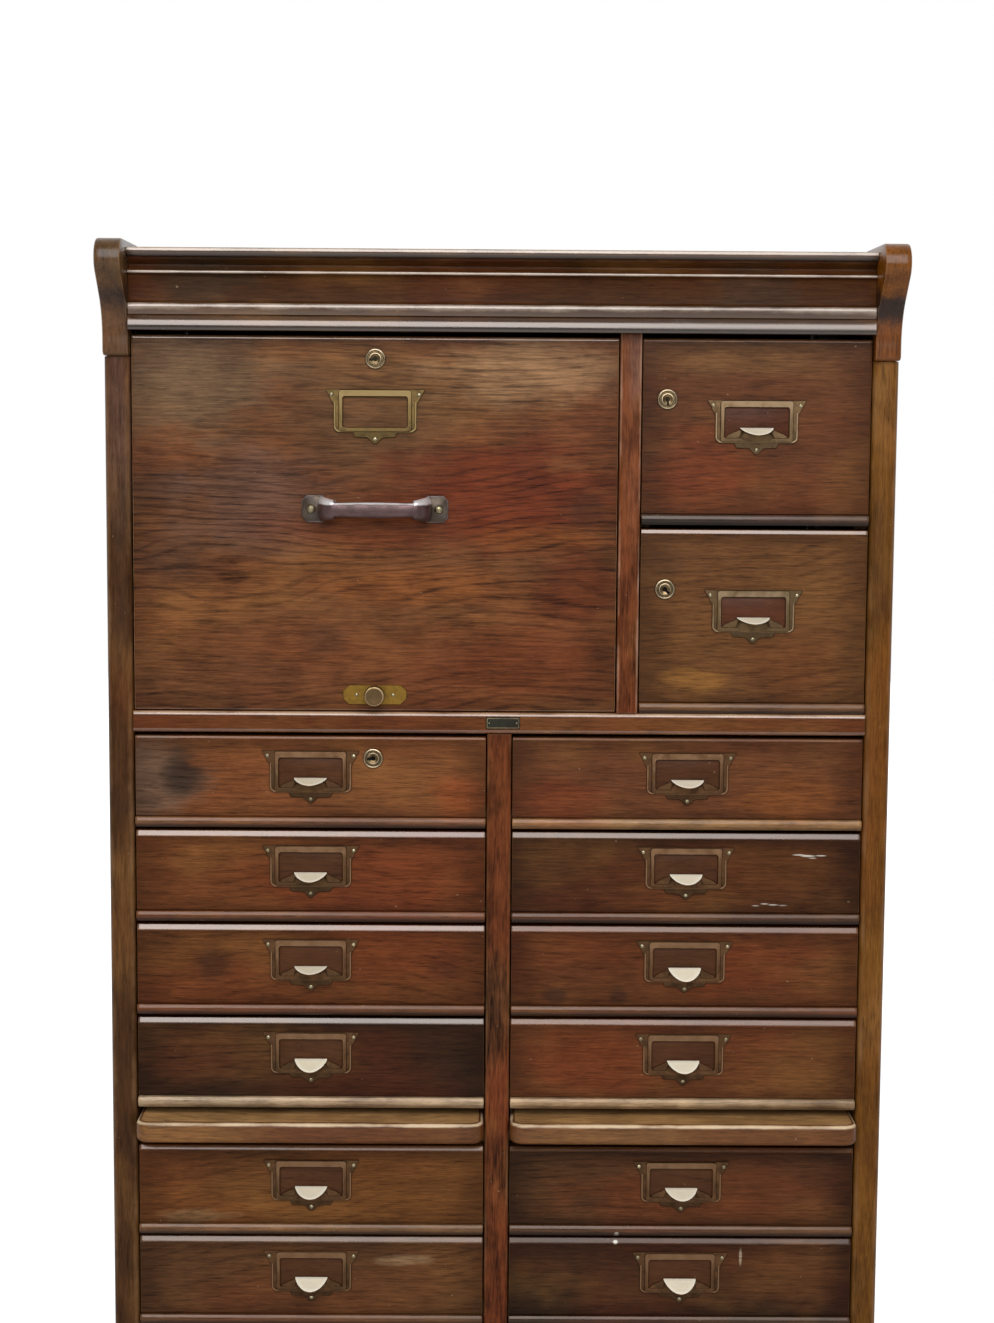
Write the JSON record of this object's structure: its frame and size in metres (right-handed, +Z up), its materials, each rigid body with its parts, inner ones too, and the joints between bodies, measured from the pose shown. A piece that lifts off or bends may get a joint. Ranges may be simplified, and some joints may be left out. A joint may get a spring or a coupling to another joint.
{
  "type": "filing cabinet",
  "caption": "Antique oak filing cabinet: tall file drawer, card drawers, flat-file drawers with label pulls, pull-out reading slides, cornice with scroll brackets.",
  "frame": {"origin": "on the floor under the middle of the object's box", "axes": "+Z up, +X to the right seen from the front, front faces -Y"},
  "size_m": [0.812, 0.495, 1.4244],
  "materials": {
    "case_oak": "dark varnished oak",
    "panel_oak": "dull stained oak board",
    "drawer_oak": "red-brown varnished oak",
    "slide_oak": "worn golden oak",
    "aged_brass": "aged brass with worn lips",
    "dark_bronze": "dark bronzed metal",
    "rod_brass": "dull brass"
  },
  "bodies": {
    "case": {"left_side": "case_oak", "right_side": "case_oak", "left_scroll": "case_oak", "right_scroll": "case_oak", "back_panel": "panel_oak", "top_board": "case_oak", "cornice": "case_oak", "waist_board": "case_oak", "upper_divider": "case_oak", "centre_divider": "case_oak", "bottom_board": "panel_oak", "plinth": "case_oak"},
    "left_drawer_1": {"left_drawer_1": "drawer_oak", "left_pull_1": "aged_brass"},
    "left_drawer_2": {"left_drawer_2": "drawer_oak", "left_pull_2": "aged_brass"},
    "left_drawer_3": {"left_drawer_3": "drawer_oak", "left_pull_3": "aged_brass"},
    "left_drawer_4": {"left_drawer_4": "drawer_oak", "left_pull_4": "aged_brass"},
    "left_drawer_5": {"left_drawer_5": "drawer_oak", "left_pull_5": "aged_brass"},
    "left_drawer_6": {"left_drawer_6": "drawer_oak", "left_pull_6": "aged_brass"},
    "left_drawer_7": {"left_drawer_7": "drawer_oak", "left_pull_7": "aged_brass"},
    "left_drawer_8": {"left_drawer_8": "drawer_oak", "left_pull_8": "aged_brass"},
    "right_drawer_1": {"right_drawer_1": "drawer_oak", "right_pull_1": "aged_brass"},
    "right_drawer_2": {"right_drawer_2": "drawer_oak", "right_pull_2": "aged_brass"},
    "right_drawer_3": {"right_drawer_3": "drawer_oak", "right_pull_3": "aged_brass"},
    "right_drawer_4": {"right_drawer_4": "drawer_oak", "right_pull_4": "aged_brass"},
    "right_drawer_5": {"right_drawer_5": "drawer_oak", "right_pull_5": "aged_brass"},
    "right_drawer_6": {"right_drawer_6": "drawer_oak", "right_pull_6": "aged_brass"},
    "right_drawer_7": {"right_drawer_7": "drawer_oak", "right_pull_7": "aged_brass"},
    "right_drawer_8": {"right_drawer_8": "drawer_oak", "right_pull_8": "aged_brass"},
    "upper_card_drawer": {"upper_card_drawer": "drawer_oak", "upper_card_pull": "aged_brass"},
    "lower_card_drawer": {"lower_card_drawer": "drawer_oak", "lower_card_pull": "aged_brass"},
    "file_drawer": {"file_drawer": "drawer_oak", "file_label_frame": "aged_brass", "bar_handle": "dark_bronze", "rod_plate": "aged_brass"},
    "guide_rod": {"guide_rod": "rod_brass"},
    "follower": {"follower_block": "drawer_oak"},
    "left_slide": {"left_slide": "slide_oak"},
    "right_slide": {"right_slide": "slide_oak"},
    "file_lock": {"file_lock_plug": "aged_brass"},
    "flat_lock": {"flat_lock_plug": "aged_brass"},
    "upper_card_lock": {"upper_card_lock_plug": "aged_brass"},
    "lower_card_lock": {"lower_card_lock_plug": "aged_brass"}
  },
  "joints": [
    {"name": "left_drawer_1_slide", "type": "slide", "parent": "case", "child": "left_drawer_1", "axis": [0, -1, 0], "range_m": [0, 0.33]},
    {"name": "left_drawer_2_slide", "type": "slide", "parent": "case", "child": "left_drawer_2", "axis": [0, -1, 0], "range_m": [0, 0.33]},
    {"name": "left_drawer_3_slide", "type": "slide", "parent": "case", "child": "left_drawer_3", "axis": [0, -1, 0], "range_m": [0, 0.33]},
    {"name": "left_drawer_4_slide", "type": "slide", "parent": "case", "child": "left_drawer_4", "axis": [0, -1, 0], "range_m": [0, 0.33]},
    {"name": "left_drawer_5_slide", "type": "slide", "parent": "case", "child": "left_drawer_5", "axis": [0, -1, 0], "range_m": [0, 0.33]},
    {"name": "left_drawer_6_slide", "type": "slide", "parent": "case", "child": "left_drawer_6", "axis": [0, -1, 0], "range_m": [0, 0.33]},
    {"name": "left_drawer_7_slide", "type": "slide", "parent": "case", "child": "left_drawer_7", "axis": [0, -1, 0], "range_m": [0, 0.33]},
    {"name": "left_drawer_8_slide", "type": "slide", "parent": "case", "child": "left_drawer_8", "axis": [0, -1, 0], "range_m": [0, 0.33]},
    {"name": "right_drawer_1_slide", "type": "slide", "parent": "case", "child": "right_drawer_1", "axis": [0, -1, 0], "range_m": [0, 0.33]},
    {"name": "right_drawer_2_slide", "type": "slide", "parent": "case", "child": "right_drawer_2", "axis": [0, -1, 0], "range_m": [0, 0.33]},
    {"name": "right_drawer_3_slide", "type": "slide", "parent": "case", "child": "right_drawer_3", "axis": [0, -1, 0], "range_m": [0, 0.33]},
    {"name": "right_drawer_4_slide", "type": "slide", "parent": "case", "child": "right_drawer_4", "axis": [0, -1, 0], "range_m": [0, 0.33]},
    {"name": "right_drawer_5_slide", "type": "slide", "parent": "case", "child": "right_drawer_5", "axis": [0, -1, 0], "range_m": [0, 0.33]},
    {"name": "right_drawer_6_slide", "type": "slide", "parent": "case", "child": "right_drawer_6", "axis": [0, -1, 0], "range_m": [0, 0.33]},
    {"name": "right_drawer_7_slide", "type": "slide", "parent": "case", "child": "right_drawer_7", "axis": [0, -1, 0], "range_m": [0, 0.33]},
    {"name": "right_drawer_8_slide", "type": "slide", "parent": "case", "child": "right_drawer_8", "axis": [0, -1, 0], "range_m": [0, 0.33]},
    {"name": "upper_card_drawer_slide", "type": "slide", "parent": "case", "child": "upper_card_drawer", "axis": [0, -1, 0], "range_m": [0, 0.33]},
    {"name": "lower_card_drawer_slide", "type": "slide", "parent": "case", "child": "lower_card_drawer", "axis": [0, -1, 0], "range_m": [0, 0.33]},
    {"name": "file_drawer_slide", "type": "slide", "parent": "case", "child": "file_drawer", "axis": [0, -1, 0], "range_m": [0, 0.33]},
    {"name": "left_slide_pull", "type": "slide", "parent": "case", "child": "left_slide", "axis": [0, -1, 0], "range_m": [0, 0.3]},
    {"name": "right_slide_pull", "type": "slide", "parent": "case", "child": "right_slide", "axis": [0, -1, 0], "range_m": [0, 0.3]},
    {"name": "guide_rod_pull", "type": "slide", "parent": "file_drawer", "child": "guide_rod", "axis": [0, -1, 0], "range_m": [0, 0.37]},
    {"name": "follower_slide", "type": "slide", "parent": "file_drawer", "child": "follower", "axis": [0, -1, 0], "range_m": [0, 0.24]},
    {"name": "file_lock_turn", "type": "hinge", "parent": "file_drawer", "child": "file_lock", "pos_m": [-0.1275, -0.1905, 1.3094], "axis": [0, 1, 0], "range_deg": [0, 90]},
    {"name": "flat_lock_turn", "type": "hinge", "parent": "left_drawer_1", "child": "flat_lock", "pos_m": [-0.12925, -0.1905, 0.9032], "axis": [0, 1, 0], "range_deg": [0, 90]},
    {"name": "upper_card_lock_turn", "type": "hinge", "parent": "upper_card_drawer", "child": "upper_card_lock", "pos_m": [0.1672, -0.1905, 1.2709], "axis": [0, 1, 0], "range_deg": [0, 90]},
    {"name": "lower_card_lock_turn", "type": "hinge", "parent": "lower_card_drawer", "child": "lower_card_lock", "pos_m": [0.1672, -0.1905, 1.0789], "axis": [0, 1, 0], "range_deg": [0, 90]}
  ]
}
